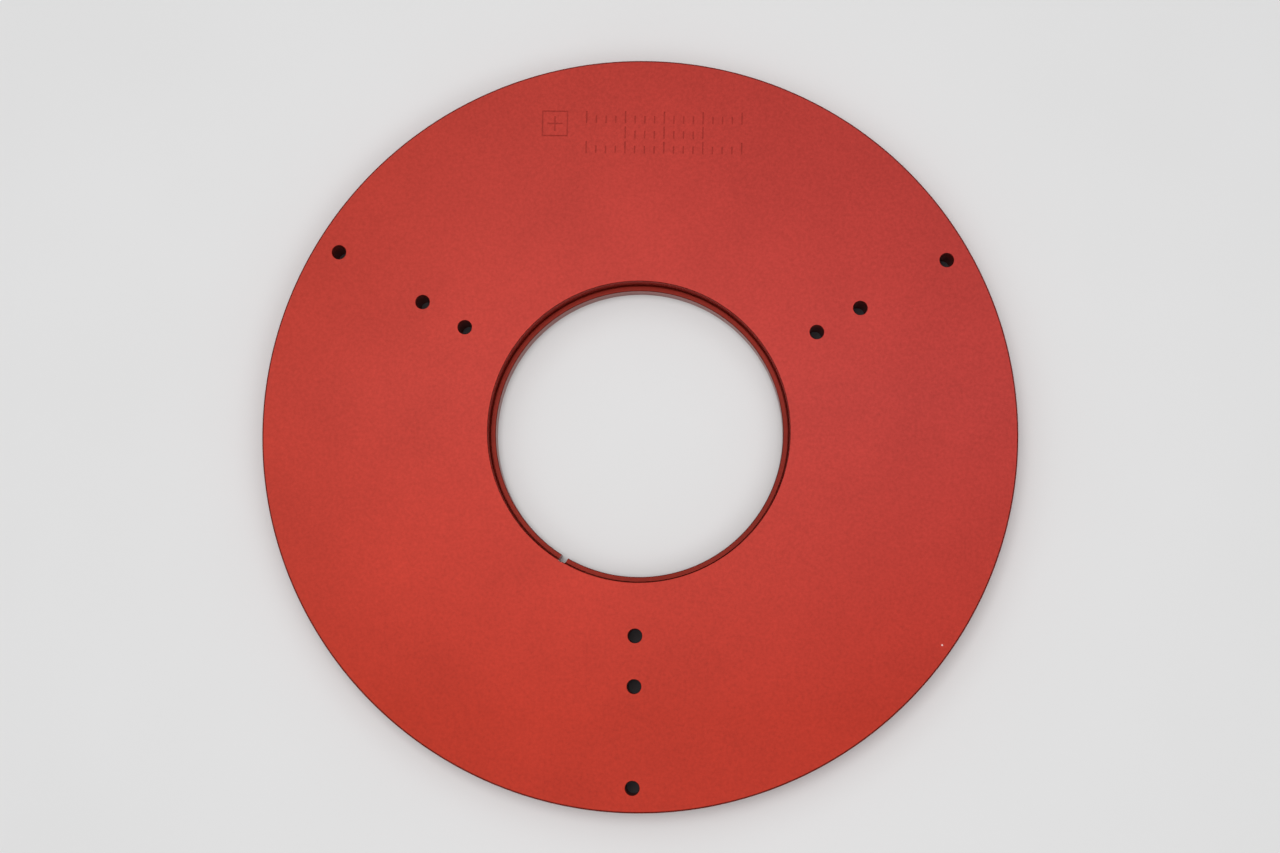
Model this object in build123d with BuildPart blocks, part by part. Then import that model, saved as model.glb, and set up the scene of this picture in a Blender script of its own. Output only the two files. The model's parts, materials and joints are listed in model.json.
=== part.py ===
from build123d import *
import os
from math import isclose

# A flat annular tooling plate with a thin notched ring seated in the lower half of its bore.
# Origin: centre of the bore on the underside. +Z points to the marked face, and a row of holes lies along -Y.
# All sizes are in millimetres.

# Plate
plate_diameter = 200.0
plate_thickness = 12.7
bore_diameter = 80.0
rim_chamfer = 0.4
bore_chamfer = 0.15

# Ledge ring: seated from below against a shoulder in the plate, flush with the underside.
# Above it the bore stays open as a recess, and the ring's inner part shows there as a narrow ledge.
recess_depth = 6.35
ledge_width = 1.65
shoulder_width = 1.0
ring_edge_chamfer = 0.15
joint_chamfer = 0.2

# V-shaped relief groove turned in the ring's top face, at the foot of the recess wall
relief_width = 0.4
relief_depth = 0.4

# Notch through the ledge, milled from above with the ring in place.
# Its round end bites a little into the plate's bore.
notch_width = 2.0
notch_bite = 0.3
notch_angle = 240.0

# Through holes, in three radial rows
hole_diameter = 3.73
hole_chamfer = 0.1
hole_rows = 3
first_row_angle = 30.0
inner_hole_inset = 14.0
middle_hole_step = 13.2
outer_hole_inset = 6.5

# Shallow graduation marks and a plain square target near the rim at +Y
mark_depth = 0.2
mark_line = 0.35
mark_height = 3.2
short_mark_height = 2.0
mark_pitch = 2.6
mark_row_pitch = 4.1
mark_rim_inset = 14.0
mark_row_counts = (17, 9, 17)
marks_per_long_mark = 4
mark_centre_x = 5.4
target_size = 7.0
target_cross = 4.0
target_step_x = 29.3

# Radii closer than this count as equal
same_radius = 0.0001

# What follows from those sizes
plate_radius = plate_diameter / 2
bore_radius = bore_diameter / 2
seat_radius = bore_radius + shoulder_width
seat_depth = plate_thickness - recess_depth
ring_bore_radius = bore_radius - ledge_width
relief_inner_edge = (bore_radius - relief_width, seat_depth)
relief_root = (bore_radius - relief_width / 2, seat_depth - relief_depth)
relief_outer_edge = (bore_radius, seat_depth)
inner_circle_radius = bore_radius + inner_hole_inset
middle_circle_radius = inner_circle_radius + middle_hole_step
outer_circle_radius = plate_radius - outer_hole_inset
hole_circle_radii = (inner_circle_radius, middle_circle_radius, outer_circle_radius)
notch_outer_radius = bore_radius + notch_bite
notch_inner_radius = ring_bore_radius - notch_width
mark_top_y = plate_radius - mark_rim_inset
top_face = Plane.XY.offset(plate_thickness)


def circles(part, radius):
    """The round edges of a part that have this radius."""
    round_edges = part.edges().filter_by(GeomType.CIRCLE)
    return round_edges.filter_by(lambda edge: isclose(edge.radius, radius, abs_tol=same_radius))


def mark_places(is_long):
    """Centres of the long or the short marks: rows of evenly spaced lines that stand on a common foot."""
    height = mark_height if is_long else short_mark_height
    places = []
    for row, count in enumerate(mark_row_counts):
        foot_y = mark_top_y - row * mark_row_pitch - mark_height
        first_x = mark_centre_x - (count - 1) * mark_pitch / 2
        for number in range(count):
            if (number % marks_per_long_mark == 0) == is_long:
                places.append((first_x + number * mark_pitch, foot_y + height / 2))
    return places


# The notch's outline: a round-ended slot that runs out from inside the ring's bore
with BuildSketch() as notch_outline:
    with PolarLocations((notch_inner_radius + notch_outer_radius) / 2, 1, start_angle=notch_angle):
        SlotOverall(notch_outer_radius - notch_inner_radius, notch_width)

# The marks' outline: three rows of graduation lines, and a square target with a cross in it to their left
with BuildSketch(top_face) as mark_outline:
    with Locations(*mark_places(is_long=True)):
        Rectangle(mark_line, mark_height)
    with Locations(*mark_places(is_long=False)):
        Rectangle(mark_line, short_mark_height)
    with Locations((mark_centre_x - target_step_x, mark_top_y - target_size / 2)):
        Rectangle(target_size, target_size)
        Rectangle(target_size - 2 * mark_line, target_size - 2 * mark_line, mode=Mode.SUBTRACT)
        Rectangle(target_cross, mark_line)
        Rectangle(mark_line, target_cross)

# Annular plate: a turned disc, bored from above and counterbored from below for the ring
with BuildPart() as annular_plate:
    with BuildSketch(Plane.XY):
        Circle(plate_radius)
        Circle(bore_radius, mode=Mode.SUBTRACT)
    extrude(amount=plate_thickness)
    chamfer(circles(annular_plate, plate_radius), rim_chamfer)
    chamfer(circles(annular_plate, bore_radius).sort_by(Axis.Z)[-1], bore_chamfer)
    with BuildSketch(Plane.XY):
        Circle(seat_radius)
    extrude(amount=seat_depth, mode=Mode.SUBTRACT)
    chamfer(circles(annular_plate, seat_radius).sort_by(Axis.Z)[0], joint_chamfer)
    for circle_radius in hole_circle_radii:
        with Locations(top_face):
            with PolarLocations(circle_radius, hole_rows, start_angle=first_row_angle):
                Hole(hole_diameter / 2, plate_thickness)
    chamfer(circles(annular_plate, hole_diameter / 2), hole_chamfer)
    extrude(notch_outline.sketch, amount=plate_thickness, mode=Mode.SUBTRACT)
    extrude(mark_outline.sketch, amount=-mark_depth, mode=Mode.SUBTRACT)

# Ledge ring: it fills the counterbore, with the relief groove in its top, and the notch is open to its bore
with BuildPart() as ledge_ring:
    with BuildSketch(Plane.XY):
        Circle(seat_radius)
        Circle(ring_bore_radius, mode=Mode.SUBTRACT)
    extrude(amount=seat_depth)
    chamfer(circles(ledge_ring, seat_radius).sort_by(Axis.Z)[0], joint_chamfer)
    chamfer(circles(ledge_ring, ring_bore_radius), ring_edge_chamfer)
    with BuildSketch(Plane.XZ):
        with BuildLine():
            Polyline(relief_inner_edge, relief_root, relief_outer_edge, close=True)
        make_face()
    revolve(axis=Axis.Z, mode=Mode.SUBTRACT)
    extrude(notch_outline.sketch, amount=seat_depth, mode=Mode.SUBTRACT)

annular_plate.part.label = "annular_plate"
ledge_ring.part.label = "ledge_ring"

os.makedirs("parts", exist_ok=True)
export_step(annular_plate.part, "parts/annular_plate.step")
export_step(ledge_ring.part, "parts/ledge_ring.step")
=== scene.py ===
# %% [markdown]
# # A red anodised ring plate
#
# The object is a flat aluminium disc, 200 mm across and half an inch thick, with a large bore through
# its middle. It is bead-blasted, which leaves a fine satin grain, and then anodised red.
# A thin ring sits low in the bore, so a narrow ledge shows all round it, with one notch through it.
# Nine small holes lie in three rows, and a few shallow marks are cut near the edge.
#
# The CAD model fixes every size. This lesson builds the pieces again as clean meshes, with small broken
# edges and real engraving, and spends most of its effort on the finish, which is what the eye sees first.

# %% Load the fixed frame
import json
from math import cos, pi, radians, sin

import bpy
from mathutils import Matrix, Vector


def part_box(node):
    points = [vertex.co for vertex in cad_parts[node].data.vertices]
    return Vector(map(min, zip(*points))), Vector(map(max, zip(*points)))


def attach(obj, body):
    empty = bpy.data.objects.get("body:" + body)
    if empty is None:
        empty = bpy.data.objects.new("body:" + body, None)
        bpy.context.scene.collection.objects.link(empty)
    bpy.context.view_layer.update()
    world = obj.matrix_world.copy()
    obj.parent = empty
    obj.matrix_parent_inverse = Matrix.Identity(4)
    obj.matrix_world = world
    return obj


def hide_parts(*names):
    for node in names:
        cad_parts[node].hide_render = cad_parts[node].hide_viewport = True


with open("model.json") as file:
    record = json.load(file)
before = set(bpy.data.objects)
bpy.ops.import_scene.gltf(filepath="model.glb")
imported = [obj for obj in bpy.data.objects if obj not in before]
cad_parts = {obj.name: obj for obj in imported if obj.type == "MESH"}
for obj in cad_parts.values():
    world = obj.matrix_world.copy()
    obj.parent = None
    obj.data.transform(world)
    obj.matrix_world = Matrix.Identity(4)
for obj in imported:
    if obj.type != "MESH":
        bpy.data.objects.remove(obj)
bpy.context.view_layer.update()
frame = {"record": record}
scene = bpy.context.scene

# %% [markdown]
# ## Sizes
#
# Outside sizes come from the boxes of the two CAD nodes, and bores and hole circles come from the mounts
# of the record. That way the looks can't drift from the design. Only the sizes that no box or mount states
# are written here, in metres: the broken edges and the notch, and further down the groove and the marks.

# %% Read the sizes
MM = 0.001

plate_low, plate_high = (Vector(corner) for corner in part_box("annular_plate"))
ring_high = Vector(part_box("ledge_ring")[1])
mounts = {mount["name"]: mount["dims"] for mount in frame["record"]["mounts"]}

plate_radius = min(-plate_low.x, -plate_low.y, plate_high.x, plate_high.y)
plate_thickness = plate_high.z
seat_radius = ring_high.x
seat_depth = ring_high.z
bore_radius = mounts["recess"]["r_mm"] * MM
ring_bore_radius = mounts["ring_bore"]["r_mm"] * MM
hole_radius = mounts["inner_holes"]["hole_r_mm"] * MM
hole_rows = mounts["inner_holes"]["count"]
HOLE_CIRCLES = ("inner_holes", "middle_holes", "outer_holes")
hole_circle_radii = [mounts[name]["pcd_mm"] / 2 * MM for name in HOLE_CIRCLES]

rim_break = 0.4 * MM
bore_break = 0.15 * MM
hole_break = 0.1 * MM
first_row_angle = radians(30)
notch_width = 2.0 * MM
notch_bite = 0.3 * MM
notch_outer_radius = bore_radius + notch_bite
notch_inner_radius = ring_bore_radius - notch_width
notch_angle = radians(240)
print("plate radius", plate_radius, "thickness", plate_thickness, "bore", bore_radius, "ledge", seat_depth)

# %% [markdown]
# ## Node maths as plain Python
#
# A finish or a shape tree is mostly arithmetic. Written node by node it is hard to read, so one small class
# wraps an output socket and lets Python's own signs add the Math nodes. Every other node comes from one method,
# which sets the node's settings first, because some settings change which sockets it has.

# %% A socket that Python can calculate with
class Wire:
    """An output socket in a node tree. Adding, subtracting, multiplying or dividing it adds a Math node."""

    def __init__(self, socket):
        self.socket = socket
        self.tree = socket.id_data

    def node(self, kind, settings=None, inputs=None, output=0):
        """Adds a node to this wire's tree, and returns the wire of one of its outputs."""
        return add_node(self.tree, kind, settings, inputs, output)

    def math(self, operation, *values):
        return self.node("ShaderNodeMath", {"operation": operation}, dict(enumerate((self,) + values)))

    def __add__(self, other):
        return self.math("ADD", other)

    def __sub__(self, other):
        return self.math("SUBTRACT", other)

    def __mul__(self, other):
        return self.math("MULTIPLY", other)

    def __truediv__(self, other):
        return self.math("DIVIDE", other)

    def __rsub__(self, other):
        return self * -1.0 + other

    __radd__ = __add__
    __rmul__ = __mul__


def add_node(tree, kind, settings=None, inputs=None, output=0):
    """Adds one node: its settings first, then its inputs, each a plain value or a Wire.

    The setting "choices" gives an Index Switch that many items.
    """
    made = tree.nodes.new(kind)
    for name, value in (settings or {}).items():
        if name == "choices":
            for _ in range(value - len(made.index_switch_items)):
                made.index_switch_items.new()
        else:
            setattr(made, name, value)
    for name, value in (inputs or {}).items():
        if isinstance(value, Wire):
            tree.links.new(value.socket, made.inputs[name])
        else:
            made.inputs[name].default_value = value
    return Wire(made.outputs[output])


# %% [markdown]
# ## Geometry Nodes as a small machine shop
#
# The real plate is made by removing metal: a disc is turned, bored, counterbored, drilled and engraved.
# The same order works in Geometry Nodes. The section is swept round a circle, which is what a lathe leaves
# behind, and then cutters for the holes, the notch and the marks are taken away from it with a Mesh Boolean.
# Modelling the holes by hand in the face would also work, but cutters follow their sizes by themselves.

# %% Start and end a tree
SOCKET_KINDS = {int: "NodeSocketInt", float: "NodeSocketFloat"}
SHARP_ANGLE = radians(35)


def start_tree(name, sizes):
    """A geometry tree with one named input for each size. Returns the tree and a Wire for each input."""
    tree = bpy.data.node_groups.new(name, "GeometryNodeTree")
    tree.interface.new_socket("Mesh", in_out="OUTPUT", socket_type="NodeSocketGeometry")
    for label, size in sizes.items():
        tree.interface.new_socket(label, in_out="INPUT", socket_type=SOCKET_KINDS[type(size)])
    entry = tree.nodes.new("NodeGroupInput")
    return tree, {label: Wire(entry.outputs[label]) for label in sizes}


def end_tree(tree, mesh, material):
    """Marks the sharp edges, makes instances real, sets the material and closes the tree."""
    whole = add_node(tree, "GeometryNodeRealizeInstances", inputs={"Geometry": mesh})
    smooth = add_node(
        tree,
        "GeometryNodeSetShadeSmooth",
        {"domain": "FACE"},
        {"Geometry": whole, "Shade Smooth": True},
    )
    angle = add_node(tree, "GeometryNodeInputMeshEdgeAngle")
    is_sharp = angle.node("FunctionNodeCompare", {"operation": "GREATER_THAN"}, {0: angle, 1: SHARP_ANGLE})
    creased = add_node(
        tree,
        "GeometryNodeSetShadeSmooth",
        {"domain": "EDGE"},
        {"Geometry": smooth, "Selection": is_sharp, "Shade Smooth": False},
    )
    painted = add_node(tree, "GeometryNodeSetMaterial", inputs={"Geometry": creased, "Material": material})
    leave = tree.nodes.new("NodeGroupOutput")
    tree.links.new(painted.socket, leave.inputs[0])


# %% Run a tree into a plain mesh
def make_piece(name, tree, sizes):
    """Runs a tree on an empty mesh and returns an object at the origin that holds the finished mesh."""
    piece = bpy.data.objects.new(name, bpy.data.meshes.new(name))
    scene.collection.objects.link(piece)
    shop = piece.modifiers.new("machining", "NODES")
    shop.node_group = tree
    for item in tree.interface.items_tree:
        if item.in_out == "INPUT":
            shop[item.identifier] = sizes[item.name]
    even = piece.modifiers.new("even_normals", "WEIGHTED_NORMAL")
    even.keep_sharp = True
    finished = bpy.data.meshes.new_from_object(piece.evaluated_get(bpy.context.evaluated_depsgraph_get()))
    piece.modifiers.clear()
    piece.data = finished
    finished.name = name
    print(name, "has", len(finished.vertices), "vertices and", len(finished.polygons), "faces")
    return piece


# %% [markdown]
# ## Shapes that a lathe and a mill leave
#
# Curve to Mesh lays a section along a path. On a circle whose normals stay level, the section's X points
# outward and its Y points down, so a corner at radius r and height z is drawn at (r - path radius, -z).
# The corners go outward along the top and inward along the underside, so that the faces point outward.
# Every step and broken edge is in the section. Cutting the steps with a Boolean would work too, but two
# round walls with the same 720 steps meet in slivers, and a swept section stays clean.

# %% Turned sections, round bars and slots
ROUND_STEPS = 720


def turned(tree, path_radius, corners):
    """A closed section, given as (radius, height) corners, swept round the Z axis."""
    points = {
        number: add_node(tree, "ShaderNodeCombineXYZ", inputs={"X": radius - path_radius, "Y": 0.0 - height})
        for number, (radius, height) in enumerate(corners, start=1)
    }
    points[0] = add_node(tree, "GeometryNodeInputIndex")
    settings = {"data_type": "VECTOR", "choices": len(corners)}
    place = add_node(tree, "GeometryNodeIndexSwitch", settings, points)
    line = add_node(tree, "GeometryNodeMeshLine", inputs={"Count": len(corners)})
    drawn = add_node(tree, "GeometryNodeSetPosition", inputs={"Geometry": line, "Position": place})
    outline = add_node(tree, "GeometryNodeMeshToCurve", inputs={"Mesh": drawn})
    section = add_node(tree, "GeometryNodeSetSplineCyclic", inputs={"Geometry": outline, "Cyclic": True})
    circle = {"Resolution": ROUND_STEPS, "Radius": path_radius}
    path = add_node(tree, "GeometryNodeCurvePrimitiveCircle", {"mode": "RADIUS"}, circle)
    level = add_node(tree, "GeometryNodeSetCurveNormal", {"mode": "Z_UP"}, {"Curve": path})
    return add_node(tree, "GeometryNodeCurveToMesh", inputs={"Curve": level, "Profile Curve": section})


def bar_along_z(tree, outline, low, high):
    """A closed outline carried from one height to another, with flat ends."""
    ends = {
        "Start": add_node(tree, "ShaderNodeCombineXYZ", inputs={"Z": low}),
        "End": add_node(tree, "ShaderNodeCombineXYZ", inputs={"Z": high}),
    }
    path = add_node(tree, "GeometryNodeCurvePrimitiveLine", inputs=ends)
    return add_node(
        tree, "GeometryNodeCurveToMesh", inputs={"Curve": path, "Profile Curve": outline, "Fill Caps": True}
    )


def turn_about_z(tree, shape, angle):
    """The shape turned about the Z axis."""
    turn = add_node(tree, "ShaderNodeCombineXYZ", inputs={"Z": angle})
    return add_node(tree, "GeometryNodeTransform", inputs={"Geometry": shape, "Rotation": turn})


def shift(tree, shape, x=0.0, y=0.0, z=0.0):
    """The shape moved by a distance along each axis."""
    step = add_node(tree, "ShaderNodeCombineXYZ", inputs={"X": x, "Y": y, "Z": z})
    return add_node(tree, "GeometryNodeTransform", inputs={"Geometry": shape, "Translation": step})


def join(tree, *shapes):
    """Several shapes as one geometry."""
    together = tree.nodes.new("GeometryNodeJoinGeometry")
    for shape in shapes:
        tree.links.new(shape.socket, together.inputs[0])
    return Wire(together.outputs[0])


def cut(tree, blank, *cutters, crossing=False):
    """The blank with the cutters taken away. Crossing is for cutters that pass through each other."""
    settings = {"operation": "DIFFERENCE", "solver": "EXACT"}
    taken = join(tree, *cutters)
    inputs = {"Mesh 1": blank, "Mesh 2": taken, "Self Intersection": crossing}
    return add_node(tree, "GeometryNodeMeshBoolean", settings, inputs)


# %% [markdown]
# ## Drilled holes and their broken edges
#
# Each hole is a straight drill with a tiny countersink at both ends, which takes the burr off.
# One cutter has that whole shape: a round bar whose radius grows where it leaves the plate.
# Its path has four points. The two outer ones lie just outside the faces and are wider,
# and Curve to Mesh scales the circle at each of them, so the flare comes out as a cone of 45 degrees.
# The cutter is put on the points of three circles, three on each.

# %% Drill cutters on hole circles
HOLE_STEPS = 64
DRILL_POINTS = 4


def drill_cutter(tree, radius, edge_break, thickness):
    """A round bar from below the plate to above it, flared by the edge break at both faces."""
    from_middle = add_node(tree, "GeometryNodeInputIndex") - (DRILL_POINTS - 1) / 2
    is_end = from_middle.math("ABSOLUTE").math("GREATER_THAN", 1.0)
    half_height = thickness * 0.5 - edge_break + is_end * 2.0 * edge_break
    height = thickness * 0.5 + from_middle.math("SIGN") * half_height
    place = add_node(tree, "ShaderNodeCombineXYZ", inputs={"Z": height})
    line = add_node(tree, "GeometryNodeMeshLine", inputs={"Count": DRILL_POINTS})
    stacked = add_node(tree, "GeometryNodeSetPosition", inputs={"Geometry": line, "Position": place})
    path = add_node(tree, "GeometryNodeMeshToCurve", inputs={"Mesh": stacked})
    circle = {"Resolution": HOLE_STEPS, "Radius": 1.0}
    outline = add_node(tree, "GeometryNodeCurvePrimitiveCircle", {"mode": "RADIUS"}, circle)
    width = radius + is_end * 2.0 * edge_break
    sweep = {"Curve": path, "Profile Curve": outline, "Scale": width, "Fill Caps": True}
    return add_node(tree, "GeometryNodeCurveToMesh", inputs=sweep)


def round_pattern(tree, cutter, circle_radius, count, first_angle):
    """Copies of a cutter spread evenly on a circle."""
    circle = add_node(tree, "GeometryNodeMeshCircle", inputs={"Vertices": count, "Radius": circle_radius})
    points = turn_about_z(tree, circle, first_angle)
    copies = add_node(tree, "GeometryNodeInstanceOnPoints", inputs={"Points": points, "Instance": cutter})
    return add_node(tree, "GeometryNodeRealizeInstances", inputs={"Geometry": copies})


# %% [markdown]
# ## The notch and the marks
#
# The notch is one pass of a small end mill: a slot with a round end, turned to its place about the bore.
# Its corners are rounded by a shade under half its width, because at a full half two corners meet in one point.
# The marks are plain graduations, short and long lines that stand on a common foot, and a square target.
# A line is a box cutter on each point of a row, and every fourth one is longer.
# Text would be the other way to fill this spot, but lettering belongs to one maker and graduations to nobody.

# %% Notch and graduation cutters
OVERRUN = 1.0 * MM
END_ROUNDING = 0.4999
END_STEPS = 16


def notch_cutter(tree, width, inner, outer, angle, low, high):
    """A slot with round ends that runs outward between two radii, turned to its place about the bore."""
    size = {"Width": outer - inner, "Height": width}
    box = add_node(tree, "GeometryNodeCurvePrimitiveQuadrilateral", {"mode": "RECTANGLE"}, size)
    rounding = {"Curve": box, "Count": END_STEPS, "Radius": width * END_ROUNDING, "Limit Radius": True}
    slot = add_node(tree, "GeometryNodeFilletCurve", {"mode": "POLY"}, rounding)
    outward = shift(tree, bar_along_z(tree, slot, low, high), x=(inner + outer) * 0.5)
    return turn_about_z(tree, outward, angle)


def line_cutter(tree, width, height, depth, place):
    """A box that cuts one straight mark to the given depth, at a place on the face."""
    size = add_node(tree, "ShaderNodeCombineXYZ", inputs={"X": width, "Y": height, "Z": depth * 2.0})
    box = add_node(tree, "GeometryNodeMeshCube", inputs={"Size": size})
    return shift(tree, box, **place)


def graduation_row(tree, count, pitch, line, tall, short, depth, every, place):
    """A row of upright lines on a common foot. Every so many lines, one is tall."""
    first = (count - 1.0) * pitch * -0.5
    start = add_node(tree, "ShaderNodeCombineXYZ", inputs={"X": first})
    step = add_node(tree, "ShaderNodeCombineXYZ", inputs={"X": pitch})
    spacing = {"Count": count, "Start Location": start, "Offset": step}
    row = add_node(tree, "GeometryNodeMeshLine", inputs=spacing)
    in_group = add_node(tree, "GeometryNodeInputIndex").math("MODULO", every)
    is_tall = 1.0 - in_group.math("GREATER_THAN", 0.5)
    length = short + is_tall * (tall - short)
    size = add_node(tree, "ShaderNodeCombineXYZ", inputs={"X": line, "Y": length, "Z": depth * 2.0})
    lift = add_node(tree, "ShaderNodeCombineXYZ", inputs={"Y": length * 0.5})
    stood = add_node(tree, "GeometryNodeSetPosition", inputs={"Geometry": row, "Offset": lift})
    box = add_node(tree, "GeometryNodeMeshCube", inputs={"Size": (1.0, 1.0, 1.0)})
    marks = {"Points": stood, "Instance": box, "Scale": size}
    copies = add_node(tree, "GeometryNodeInstanceOnPoints", inputs=marks)
    solid = add_node(tree, "GeometryNodeRealizeInstances", inputs={"Geometry": copies})
    return shift(tree, solid, **place)


# %% [markdown]
# ## The red anodised finish
#
# Anodising grows a clear, hard skin on aluminium, and the dye sits inside that skin. Light goes through
# the dye, bounces off the metal and comes back through the dye, and on a blasted face much of it scatters too.
# A fully metallic shader goes nearly black from low angles, where it mirrors a darker room, and a matt one
# looks like paint. So this one is half metallic, and a thin clear coat adds the white glance of the skin.
#
# Three things keep it from looking like plastic. Bead blasting leaves a grain about a quarter of a millimetre
# wide, which shows as a fine sparkle. The dye takes a little unevenly, so the red drifts slowly across
# the face. And the walls that a lathe cut are smoother than the blasted faces, with fine lines running round
# them.
# Painted light is added on top: a warmer red on the left and a cooler one on the right, for the light that
# falls on each side, and painted shade that makes the red darker and deeper toward -Y, the side away from the
# marks, that darkens the broken edges and that darkens the floors of the engraved marks. One tiny nick near the
# rim shows bare metal.

# %% Noise, ramps and blends
BLACK = (0.0, 0.0, 0.0, 1.0)


def noise(tree, where, size, detail=2.0, roughness=0.5):
    """Soft noise between 0 and 1, with spots of about the given size in metres."""
    inputs = {"Vector": where, "Scale": 1.0 / size, "Detail": detail, "Roughness": roughness}
    return add_node(tree, "ShaderNodeTexNoise", inputs=inputs)


def ramp_between(value, low, high):
    """0 below low, 1 above high, and a straight rise between them."""
    return value.node("ShaderNodeMapRange", inputs={"Value": value, "From Min": low, "From Max": high})


def blend_colours(tree, factor, first, second):
    """The first colour where the factor is 0, the second where it is 1."""
    return add_node(tree, "ShaderNodeMix", {"data_type": "RGBA"}, {0: factor, 6: first, 7: second}, output=2)


def radius_of(where):
    """Distance from the bore's axis."""
    flat = where.node("ShaderNodeVectorMath", {"operation": "MULTIPLY"}, {0: where, 1: (1.0, 1.0, 0.0)})
    return flat.node("ShaderNodeVectorMath", {"operation": "LENGTH"}, {0: flat}, output=1)


def part_of(where, axis):
    """One coordinate of a vector: 0 for X, 1 for Y, 2 for Z."""
    return where.node("ShaderNodeSeparateXYZ", inputs={0: where}, output=axis)


# %% Sizes and strengths of the patterns
GRAIN_SIZE = 0.26 * MM
COARSE_GRAIN_SIZE = GRAIN_SIZE * 3.1
MOTTLE_SIZE = 22 * MM
PATCH_SIZE = MOTTLE_SIZE * 3.3
TURNING_PITCH = 0.12 * MM

# How level a surface is, from 0 on a wall to 1 on a face: where each kind of surface begins and is complete.
FACE_RANGE = (0.75, 0.95)
WALL_RANGE = (0.15, 0.4)
UPWARD_RANGE = (0.6, 0.9)

# How far below the top face a mark's floor begins, and where anything deeper is no longer a mark.
MARK_BEGINS = (0.02 * MM, 0.12 * MM)
MARK_ENDS = (0.5 * MM, 0.6 * MM)

# How much each pattern deepens the dye.
MOTTLE_SHARE = 0.14
PATCH_SHARE = 0.08
COARSE_GRAIN_SHARE = 0.72
GRAIN_SHARE = 0.42
DRIFT_RANGE = (0.38, 0.98)
TURNING_SHADE = 0.25
# The engraved marks get painted shade: their floors are darkened.
MARK_PAINTED_SHADE = 0.35
DEEPEST_DYE = 0.30

# Painted shade toward -Y. Along Y, in shares of the plate's radius: where it is complete, and where it ends;
# then how much it darkens red, green and blue.
SHADED_SIDE_RANGE = (-0.75, 0.1)
SHADED_SIDE_TINT = (0.92, 0.70, 0.48)

NICK_SIZE = 0.3 * MM
NICK_PLACE = (80.2 * MM, -55.0 * MM, plate_thickness)
BARE_METAL = (0.55, 0.38, 0.36, 1.0)

# How much each pattern changes the roughness, how high the relief is, and how strong the clear skin is.
MOTTLE_GLOSS = 0.06
GRAIN_GLOSS = 0.1
MARK_GLOSS = 0.08
TURNING_GLOSS = 0.12
GRAIN_RELIEF = 0.008 * MM
FINE_RELIEF_SHARE = 0.7
COARSE_RELIEF_SHARE = 0.3
TURNING_RELIEF = 0.003 * MM
FACE_SKIN = 0.03
WALL_SKIN = 0.12
print("grain", GRAIN_SIZE, "mottle", MOTTLE_SIZE, "turned lines", TURNING_PITCH)


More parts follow.
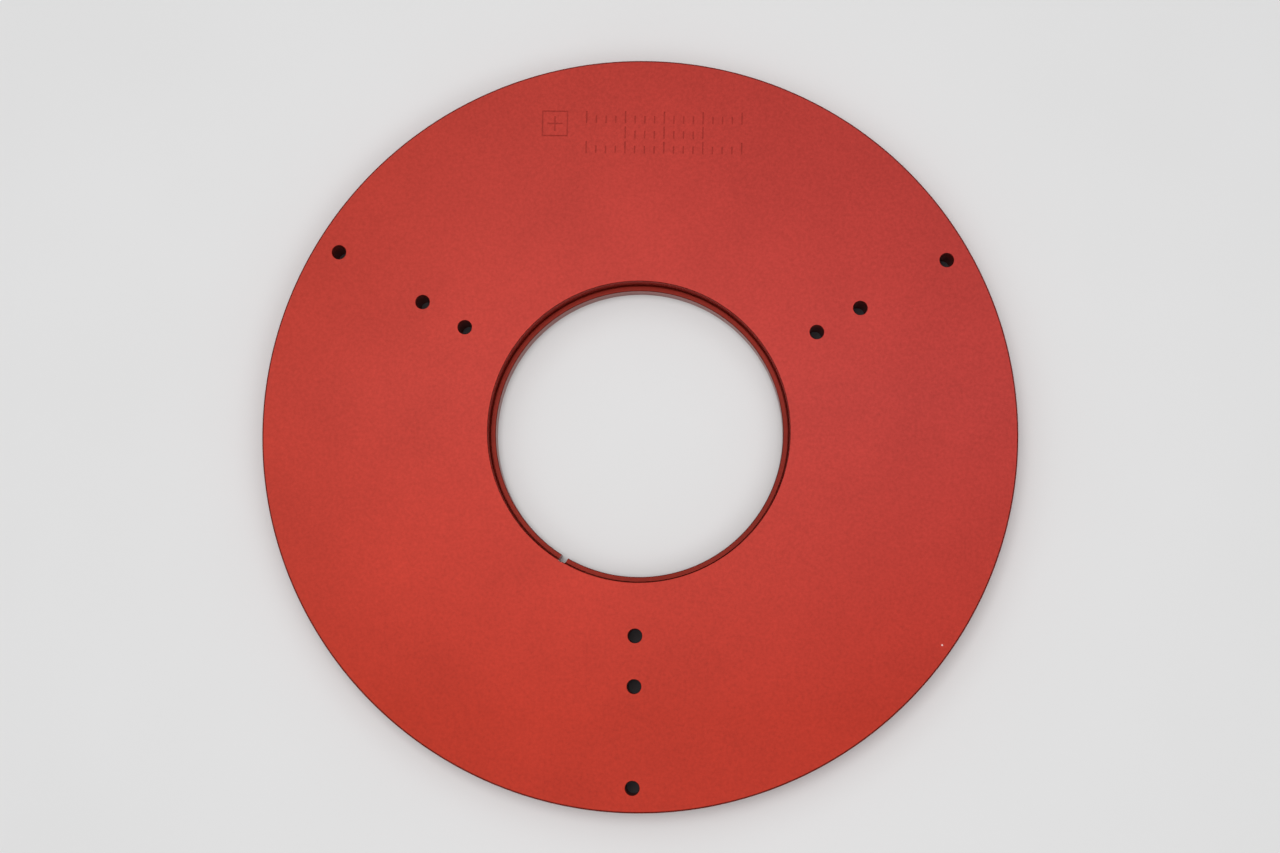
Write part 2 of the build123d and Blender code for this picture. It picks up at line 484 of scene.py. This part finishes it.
# %% Anodised aluminium
def anodised(name, warm_lit_dye, cool_lit_dye, face_roughness, wall_roughness, face_lines, painted_edge_shade):
    """Red anodised metal: blasted faces, turned walls, slow drift in the dye, and one nick, with painted light:
    painted shade on the edges, in the marks and toward -Y, and a warmer left and cooler right for the light.
    """
    material = bpy.data.materials.new(name)
    material.use_nodes = True
    tree = material.node_tree
    shader = tree.nodes["Principled BSDF"]
    where = add_node(tree, "ShaderNodeTexCoord", output=3)
    height = part_of(where, 2)
    facing = part_of(add_node(tree, "ShaderNodeTexCoord", output=1), 2)
    level = facing.math("ABSOLUTE")
    is_face = ramp_between(level, *FACE_RANGE)
    is_wall = 1.0 - ramp_between(level, *WALL_RANGE)
    is_edge = (1.0 - is_face) * (1.0 - is_wall)
    is_up = ramp_between(facing, *UPWARD_RANGE)

    grain = noise(tree, where, GRAIN_SIZE, detail=3.0, roughness=0.6)
    coarse_grain = noise(tree, where, COARSE_GRAIN_SIZE, detail=2.0)
    mottle = noise(tree, where, MOTTLE_SIZE, detail=3.0, roughness=0.55)
    patches = noise(tree, where, PATCH_SIZE, detail=1.0)
    around = where.node("ShaderNodeCombineXYZ", inputs={"X": radius_of(where), "Z": height})
    turning = noise(tree, around, TURNING_PITCH, detail=2.0)

    depth = plate_thickness - height
    in_mark = ramp_between(depth, *MARK_BEGINS) * (1.0 - ramp_between(depth, *MARK_ENDS)) * is_up
    slow_drift = mottle * MOTTLE_SHARE + patches * PATCH_SHARE
    drift = slow_drift + coarse_grain * COARSE_GRAIN_SHARE + grain * GRAIN_SHARE
    lines = (1.0 - is_face) + is_face * face_lines
    # The drift is the dye's own uneven tone; the marks add painted shade to it.
    dye_depth_and_mark_shade = ramp_between(drift, *DRIFT_RANGE) + in_mark * MARK_PAINTED_SHADE + (turning - 0.5) * lines * TURNING_SHADE
    # Painted light: the red turns warmer on the left and cooler on the right, for the warm and cool light that
    # falls on each side.
    toward_cool_lit_side = ramp_between(part_of(where, 0), -plate_radius, plate_radius)
    dye = blend_colours(tree, toward_cool_lit_side, warm_lit_dye, cool_lit_dye)
    # Painted shade: the red gets darker and deeper toward -Y.
    shade_from, shade_to = (share * plate_radius for share in SHADED_SIDE_RANGE)
    on_shaded_side = 1.0 - ramp_between(part_of(where, 1), shade_from, shade_to)
    shaded_side_dye = add_node(tree, "ShaderNodeVectorMath", {"operation": "MULTIPLY"}, {0: dye, 1: SHADED_SIDE_TINT})
    dye = blend_colours(tree, on_shaded_side, dye, shaded_side_dye)
    deep_dye = blend_colours(tree, DEEPEST_DYE, dye, BLACK)
    colour = blend_colours(tree, dye_depth_and_mark_shade.math("MAXIMUM", 0.0).math("MINIMUM", 1.0), dye, deep_dye)
    # Painted shade: the broken edges, the hole rims and the groove's slopes are mixed toward black.
    colour = blend_colours(tree, is_edge * painted_edge_shade, colour, BLACK)

    ends = {0: where, 1: NICK_PLACE}
    apart = add_node(tree, "ShaderNodeVectorMath", {"operation": "DISTANCE"}, ends, output=1)
    nick = 1.0 - ramp_between(apart + (grain - 0.5) * NICK_SIZE, NICK_SIZE * 0.5, NICK_SIZE)
    colour = blend_colours(tree, nick, colour, BARE_METAL)

    uneven_gloss = (mottle - 0.5) * MOTTLE_GLOSS + (grain - 0.5) * GRAIN_GLOSS
    face_gloss = face_roughness + uneven_gloss + in_mark * MARK_GLOSS
    wall_gloss = wall_roughness + (turning - 0.5) * TURNING_GLOSS
    roughness = is_face * face_gloss + (1.0 - is_face) * wall_gloss

    blasted = grain * FINE_RELIEF_SHARE + coarse_grain * COARSE_RELIEF_SHARE
    relief = is_face * blasted * GRAIN_RELIEF + lines * turning * TURNING_RELIEF
    bumpy = add_node(tree, "ShaderNodeBump", inputs={"Strength": 1.0, "Distance": 1.0, "Height": relief})
    skin = FACE_SKIN + is_wall * (WALL_SKIN - FACE_SKIN)

    tree.links.new(colour.socket, shader.inputs["Base Color"])
    tree.links.new(roughness.socket, shader.inputs["Roughness"])
    tree.links.new(skin.socket, shader.inputs["Coat Weight"])
    tree.links.new(bumpy.socket, shader.inputs["Normal"])
    shader.inputs["Metallic"].default_value = 0.5
    shader.inputs["Specular IOR Level"].default_value = 0.1
    shader.inputs["Specular Tint"].default_value = (1.0, 0.5, 0.45, 1.0)
    shader.inputs["Coat Roughness"].default_value = 0.22
    shader.inputs["Coat IOR"].default_value = 1.6
    return material


# %% The two finishes, the ring's with painted shade
plate_finish = anodised(
    "plate_anodise",
    warm_lit_dye=(0.40, 0.0375, 0.0250, 1.0),
    cool_lit_dye=(0.40, 0.0395, 0.0335, 1.0),
    face_roughness=0.46,
    wall_roughness=0.24,
    face_lines=0.0,
    painted_edge_shade=0.40,
)
# The ring's red is set at under half the plate's: painted shade for the recess it lies in, where the wall takes
# much of the light.
ring_shaded_finish = anodised(
    "ring_anodise",
    warm_lit_dye=(0.175, 0.0138, 0.0072, 1.0),
    cool_lit_dye=(0.175, 0.0143, 0.0084, 1.0),
    face_roughness=0.42,
    wall_roughness=0.22,
    face_lines=0.6,
    painted_edge_shade=0.15,
)
print("finishes:", plate_finish.name, ring_shaded_finish.name)

# %% [markdown]
# ## The plate, machined in order
#
# First the blank is turned, with its bore, the seat for the ring below it and the broken edges in one section.
# The drills, the notch and the marks come last, in one cut.
# The target's frame is a square cutter with a smaller square taken out of it.

# %% Machine the plate
plate_sizes = {
    "Plate radius": plate_radius,
    "Plate thickness": plate_thickness,
    "Bore radius": bore_radius,
    "Rim break": rim_break,
    "Bore break": bore_break,
    "Seat radius": seat_radius,
    "Seat depth": seat_depth,
    "Hole radius": hole_radius,
    "Hole break": hole_break,
    "Hole rows": hole_rows,
    "First row angle": first_row_angle,
    "Inner circle": hole_circle_radii[0],
    "Middle circle": hole_circle_radii[1],
    "Outer circle": hole_circle_radii[2],
    "Notch width": notch_width,
    "Notch inner radius": notch_inner_radius,
    "Notch outer radius": notch_outer_radius,
    "Notch angle": notch_angle,
    "Mark depth": 0.2 * MM,
    "Mark line": 0.35 * MM,
    "Mark height": 3.2 * MM,
    "Short mark height": 2.0 * MM,
    "Mark pitch": 2.6 * MM,
    "Mark row pitch": 4.1 * MM,
    "Mark rim inset": 14.0 * MM,
    "Mark centre X": 5.4 * MM,
    "Long row count": 17,
    "Short row count": 9,
    "Marks per long mark": 4,
    "Target size": 7.0 * MM,
    "Target cross": 4.0 * MM,
    "Target step X": 29.3 * MM,
}


def machined_plate(sizes, material):
    """The whole plate as a geometry tree."""
    tree, size = start_tree("machine_the_plate", sizes)
    top = size["Plate thickness"]
    bore = size["Bore radius"]
    rim = size["Plate radius"]
    chamfer = size["Rim break"]
    corners = [
        (bore, top - size["Bore break"]),
        (bore + size["Bore break"], top),
        (rim - chamfer, top),
        (rim, top - chamfer),
        (rim, chamfer),
        (rim - chamfer, 0.0),
        (size["Seat radius"], 0.0),
        (size["Seat radius"], size["Seat depth"]),
        (bore, size["Seat depth"]),
    ]
    bored = turned(tree, bore, corners)

    drill = drill_cutter(tree, size["Hole radius"], size["Hole break"], top)
    cutters = [
        round_pattern(tree, drill, size[circle], size["Hole rows"], size["First row angle"])
        for circle in ("Inner circle", "Middle circle", "Outer circle")
    ]
    notch = (size["Notch width"], size["Notch inner radius"], size["Notch outer radius"], size["Notch angle"])
    cutters.append(notch_cutter(tree, *notch, -OVERRUN, top + OVERRUN))

    mark_top = size["Plate radius"] - size["Mark rim inset"]
    for row, count in enumerate(("Long row count", "Short row count", "Long row count")):
        foot_y = mark_top - size["Mark height"] - size["Mark row pitch"] * row
        foot = {"x": size["Mark centre X"], "y": foot_y, "z": top}
        spread = (size[count], size["Mark pitch"], size["Mark line"])
        heights = (size["Mark height"], size["Short mark height"], size["Mark depth"])
        cutters.append(graduation_row(tree, *spread, *heights, size["Marks per long mark"], foot))

    target_x = size["Mark centre X"] - size["Target step X"]
    target = {"x": target_x, "y": mark_top - size["Target size"] * 0.5, "z": top}
    window_width = size["Target size"] - size["Mark line"] * 2.0
    square = line_cutter(tree, size["Target size"], size["Target size"], size["Mark depth"], target)
    window = line_cutter(tree, window_width, window_width, size["Mark depth"] * 2.0, target)
    cutters.append(cut(tree, square, window))
    cutters.append(line_cutter(tree, size["Target cross"], size["Mark line"], size["Mark depth"], target))
    bar = (size["Target cross"] - size["Mark line"]) * 0.5
    for side in (-1.0, 1.0):
        arm = dict(target, y=target["y"] + (bar + size["Mark line"]) * 0.5 * side)
        cutters.append(line_cutter(tree, size["Mark line"], bar, size["Mark depth"], arm))
    end_tree(tree, cut(tree, bored, *cutters, crossing=True), material)
    return tree


plate = make_piece("plate", machined_plate(plate_sizes, plate_finish), plate_sizes)
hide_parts("annular_plate")
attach(plate, "root")

# %% [markdown]
# ## The ledge ring
#
# The ring is turned on its own and seated from below. A fine groove runs round its top face,
# at the foot of the recess wall. It keeps the corner clean, so a part dropped into the recess lies flat,
# and it is why a thin dark line shows round the bore; painted shade on the groove's slopes darkens that line
# further.

# %% Machine the ring
GROOVE_TIP_SHARE = 0.08

ring_sizes = {
    "Ring bore radius": ring_bore_radius,
    "Seat radius": seat_radius,
    "Seat depth": seat_depth,
    "Edge break": 0.15 * MM,
    "Groove inner radius": bore_radius - 0.4 * MM,
    "Groove outer radius": bore_radius,
    "Groove depth": 0.4 * MM,
    "Notch width": notch_width,
    "Notch inner radius": notch_inner_radius,
    "Notch outer radius": notch_outer_radius,
    "Notch angle": notch_angle,
}


def machined_ring(sizes, material):
    """The whole ring as a geometry tree."""
    tree, size = start_tree("machine_the_ring", sizes)
    top = size["Seat depth"]
    inner = size["Ring bore radius"]
    outer = size["Seat radius"]
    edge = size["Edge break"]
    groove_middle = (size["Groove inner radius"] + size["Groove outer radius"]) * 0.5
    groove_tip = (size["Groove outer radius"] - size["Groove inner radius"]) * GROOVE_TIP_SHARE
    groove_root = top - size["Groove depth"]
    corners = [
        (inner, top - edge),
        (inner + edge, top),
        (size["Groove inner radius"], top),
        (groove_middle - groove_tip, groove_root),
        (groove_middle + groove_tip, groove_root),
        (size["Groove outer radius"], top),
        (outer - edge, top),
        (outer, top - edge),
        (outer, edge),
        (outer - edge, 0.0),
        (inner + edge, 0.0),
        (inner, edge),
    ]
    blank = turned(tree, inner, corners)
    notch = (size["Notch width"], size["Notch inner radius"], size["Notch outer radius"], size["Notch angle"])
    slot = notch_cutter(tree, *notch, -OVERRUN, top + OVERRUN)
    end_tree(tree, cut(tree, blank, slot), material)
    return tree


ring = make_piece("ring", machined_ring(ring_sizes, ring_shaded_finish), ring_sizes)
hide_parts("ledge_ring")
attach(ring, "root")

# %% [markdown]
# ## The table
#
# The plate lies on a matt white table. One large square is enough, with a hair's gap under the plate so that
# the two surfaces don't flicker through each other. A faint cloud in its white keeps it from looking drawn.

# %% A pale matt table
TABLE_HALF = 3.0
TABLE_GAP = 0.05 * MM
TABLE_CLOUD_SIZE = 60 * MM
TABLE_WHITE = (0.80, 0.80, 0.805, 1.0)
TABLE_DULL = (0.77, 0.77, 0.77, 1.0)


def matt_table():
    """A large pale floor just under the plate."""
    corners = [(-1, -1), (1, -1), (1, 1), (-1, 1)]
    mesh = bpy.data.meshes.new("table")
    mesh.from_pydata([(x * TABLE_HALF, y * TABLE_HALF, -TABLE_GAP) for x, y in corners], [], [(0, 1, 2, 3)])
    material = bpy.data.materials.new("pale_table")
    material.use_nodes = True
    tree = material.node_tree
    shader = tree.nodes["Principled BSDF"]
    where = add_node(tree, "ShaderNodeTexCoord", output=3)
    cloud = noise(tree, where, TABLE_CLOUD_SIZE, detail=3.0)
    colour = blend_colours(tree, cloud, TABLE_WHITE, TABLE_DULL)
    tree.links.new(colour.socket, shader.inputs["Base Color"])
    shader.inputs["Roughness"].default_value = 0.6
    mesh.materials.append(material)
    table = bpy.data.objects.new("table", mesh)
    scene.collection.objects.link(table)
    return table


table = matt_table()
print("table half width", TABLE_HALF, "gap under the plate", TABLE_GAP)

# %% [markdown]
# ## A dark ring under the plate, painted shade for the holes
#
# The nine small holes go right through, so a white table would show at the bottom of each as a grey spot.
# Painting the bottoms of the holes dark would put a false colour on the plate, so a dark ring lies
# between the table and the plate as painted shade: it stands in for the shade at the bottom of the holes.
# The plate hides it. It is staging, as the table is, and stays clear of the bore.

# %% A dark ring of painted hole shade
HOLE_SHADE_INNER = 44 * MM
HOLE_SHADE_OUTER = 98 * MM
HOLE_SHADE_STEPS = 96
HOLE_SHADE_SPECKLE_SIZE = 0.4 * MM
HOLE_SHADE_DARK = (0.085, 0.087, 0.095, 1.0)
HOLE_SHADE_LIGHT = (0.125, 0.127, 0.135, 1.0)


def painted_hole_shade_ring():
    """A flat dark ring between the table and the plate, painted shade that stands in for the shade at the
    bottom of the holes. It shows only through the holes.
    """
    mesh = bpy.data.meshes.new("hole_shade_sheet")
    turns = [2.0 * pi * step / HOLE_SHADE_STEPS for step in range(HOLE_SHADE_STEPS)]
    points = [(r * cos(a), r * sin(a), TABLE_GAP * -0.5) for r in (HOLE_SHADE_INNER, HOLE_SHADE_OUTER) for a in turns]
    after = [(step + 1) % HOLE_SHADE_STEPS for step in range(HOLE_SHADE_STEPS)]
    faces = [(step, HOLE_SHADE_STEPS + step, HOLE_SHADE_STEPS + after[step], after[step]) for step in range(HOLE_SHADE_STEPS)]
    mesh.from_pydata(points, [], faces)
    material = bpy.data.materials.new("painted_hole_shade")
    material.use_nodes = True
    tree = material.node_tree
    shader = tree.nodes["Principled BSDF"]
    hole_shade_speckle = noise(tree, add_node(tree, "ShaderNodeTexCoord", output=3), HOLE_SHADE_SPECKLE_SIZE, detail=3.0)
    colour = blend_colours(tree, hole_shade_speckle, HOLE_SHADE_DARK, HOLE_SHADE_LIGHT)
    tree.links.new(colour.socket, shader.inputs["Base Color"])
    shader.inputs["Roughness"].default_value = 0.9
    mesh.materials.append(material)
    hole_shade_sheet = bpy.data.objects.new("hole_shade_sheet", mesh)
    scene.collection.objects.link(hole_shade_sheet)
    return hole_shade_sheet


hole_shade_sheet = painted_hole_shade_ring()
print("felt from radius", HOLE_SHADE_INNER, "to", HOLE_SHADE_OUTER)

# %% [markdown]
# ## Light and camera
#
# A narrow lamp hangs almost overhead, a little to the left, and gives the soft shadow at the right of the rim.
# A weaker lamp at the lower right thins that shadow. A wide, slightly cool ceiling light and an even pale room
# do the rest. One hard lamp would be simpler, but it would leave black shadows in the bore.
# The camera looks almost straight down from about 60 cm.

# %% Soft light
ROOM_WHITE = (1.0, 0.995, 0.99, 1.0)
ROOM_STRENGTH = 0.24


def softbox(name, place, width, power, colour):
    """A square area light that points at the middle of the plate."""
    light = bpy.data.lights.new(name, "AREA")
    light.size = width
    light.energy = power
    light.color = colour
    lamp = bpy.data.objects.new(name, light)
    lamp.location = place
    lamp.rotation_euler = (-Vector(place)).to_track_quat("-Z", "Y").to_euler()
    scene.collection.objects.link(lamp)


softbox("lamp_light", (-0.080, 0.050, 1.05), 0.45, 3.7, (1.0, 0.99, 0.975))
softbox("fill_light", (0.32, -0.30, 0.95), 0.5, 1.2, (1.0, 1.0, 1.0))
softbox("ceiling_light", (-0.10, 0.10, 1.45), 2.2, 11.0, (0.97, 0.985, 1.0))

room = bpy.data.worlds.new("room")
room.use_nodes = True
room.node_tree.nodes["Background"].inputs["Color"].default_value = ROOM_WHITE
room.node_tree.nodes["Background"].inputs["Strength"].default_value = ROOM_STRENGTH
scene.world = room
scene.view_settings.view_transform = "Standard"
print("lights:", [light.name for light in bpy.data.lights])

# %% Camera
SENSOR_WIDTH = 36.0
FOCAL_LENGTH = 64.97
CAMERA_X = 0.01801
CAMERA_Y = -0.06163
CAMERA_ABOVE_FACE = 0.60701
CAMERA_TURN = (radians(5.93), radians(1.56), radians(1.025))

lens = bpy.data.cameras.new("camera")
lens.sensor_width = SENSOR_WIDTH
lens.lens = FOCAL_LENGTH
camera = bpy.data.objects.new("camera", lens)
camera.location = (CAMERA_X, CAMERA_Y, plate_thickness + CAMERA_ABOVE_FACE)
camera.rotation_euler = CAMERA_TURN
scene.collection.objects.link(camera)
scene.camera = camera
print("camera", CAMERA_ABOVE_FACE, "m above the face, focal length", FOCAL_LENGTH, "mm")
